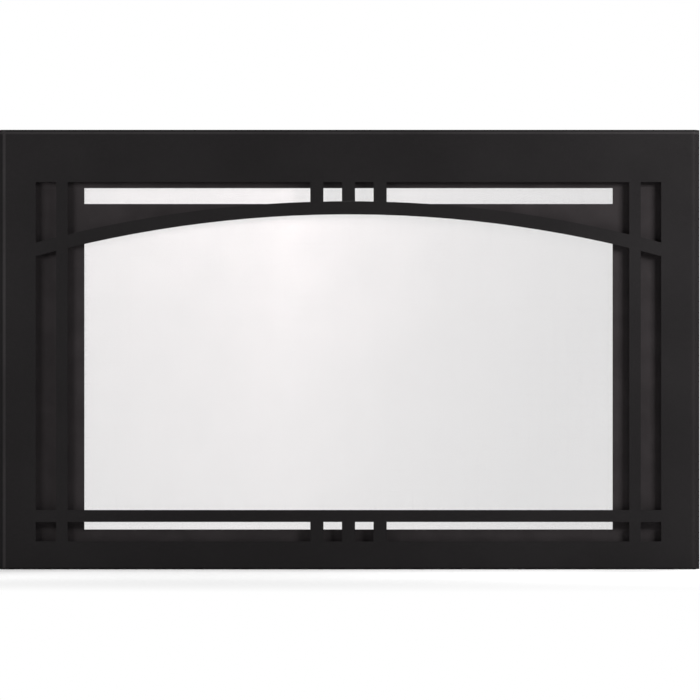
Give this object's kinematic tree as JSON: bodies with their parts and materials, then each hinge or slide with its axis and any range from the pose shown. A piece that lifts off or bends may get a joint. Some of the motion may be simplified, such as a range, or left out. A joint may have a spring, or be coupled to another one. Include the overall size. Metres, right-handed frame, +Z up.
{
  "type": "fireplace insert front",
  "caption": "Black steel front for a gas fireplace insert: a pan with an arched, mullioned opening, a recessed reveal panel, a fine barrier mesh held by turn clips, and hooked rails.",
  "frame": {"origin": "centre of the bottom edge, halfway through the depth", "axes": "+X to the viewer's right along the width, +Y from the front to the back, +Z up"},
  "size_m": [1.016, 0.038, 0.635],
  "materials": {
    "black_coat": "matt black powder coat with a fine texture",
    "panel_coat": "matt charcoal paint",
    "screen_coat": "matt black paint",
    "mesh_steel": "bare fine wire",
    "zinc": "zinc plated",
    "rivet_steel": "plain steel",
    "screw_steel": "blackened steel",
    "clip_steel": "zinc plated, turned from use"
  },
  "bodies": {
    "front": {"face_panel": "black_coat", "stile_left": "black_coat", "stile_right": "black_coat", "arch_span": "black_coat", "arch_end_left": "black_coat", "arch_end_right": "black_coat", "bottom_span": "black_coat", "bottom_end_left": "black_coat", "bottom_end_right": "black_coat", "upper_mullions": "black_coat", "lower_mullions": "black_coat", "reveal_top": "panel_coat", "reveal_header": "panel_coat", "reveal_left": "panel_coat", "reveal_right": "panel_coat", "reveal_bottom": "panel_coat", "weld_studs": "zinc", "panel_spacers": "zinc", "panel_nuts": "zinc", "hook_rail_left": "panel_coat", "hook_rail_right": "panel_coat", "screen_front_frame": "screen_coat", "screen_back_frame": "screen_coat", "barrier_mesh": "mesh_steel", "screen_rivets": "rivet_steel", "rest_tabs": "panel_coat", "clip_posts": "zinc", "clip_washers": "zinc", "clip_screws": "screw_steel"},
    "clip_top_left": {"turn_clip_top_left": "clip_steel"},
    "clip_top_right": {"turn_clip_top_right": "clip_steel"},
    "clip_bottom_left": {"turn_clip_bottom_left": "clip_steel"},
    "clip_bottom_right": {"turn_clip_bottom_right": "clip_steel"},
    "clip_side_left": {"turn_clip_side_left": "clip_steel"},
    "clip_side_right": {"turn_clip_side_right": "clip_steel"}
  },
  "joints": [
    {"name": "turn_top_left", "type": "hinge", "parent": "front", "child": "clip_top_left", "pos_m": [-0.15668, -0.00115, 0.5768], "axis": [0, 1, 0], "range_deg": [-90, 90]},
    {"name": "turn_top_right", "type": "hinge", "parent": "front", "child": "clip_top_right", "pos_m": [0.15668, -0.00115, 0.5768], "axis": [0, 1, 0], "range_deg": [-90, 90]},
    {"name": "turn_bottom_left", "type": "hinge", "parent": "front", "child": "clip_bottom_left", "pos_m": [-0.15668, -0.00115, 0.0315], "axis": [0, 1, 0], "range_deg": [-90, 90]},
    {"name": "turn_bottom_right", "type": "hinge", "parent": "front", "child": "clip_bottom_right", "pos_m": [0.15668, -0.00115, 0.0315], "axis": [0, 1, 0], "range_deg": [-90, 90]},
    {"name": "turn_side_left", "type": "hinge", "parent": "front", "child": "clip_side_left", "pos_m": [-0.4077, -0.00115, 0.30415], "axis": [0, 1, 0], "range_deg": [-90, 90]},
    {"name": "turn_side_right", "type": "hinge", "parent": "front", "child": "clip_side_right", "pos_m": [0.4077, -0.00115, 0.30415], "axis": [0, 1, 0], "range_deg": [-90, 90]}
  ]
}
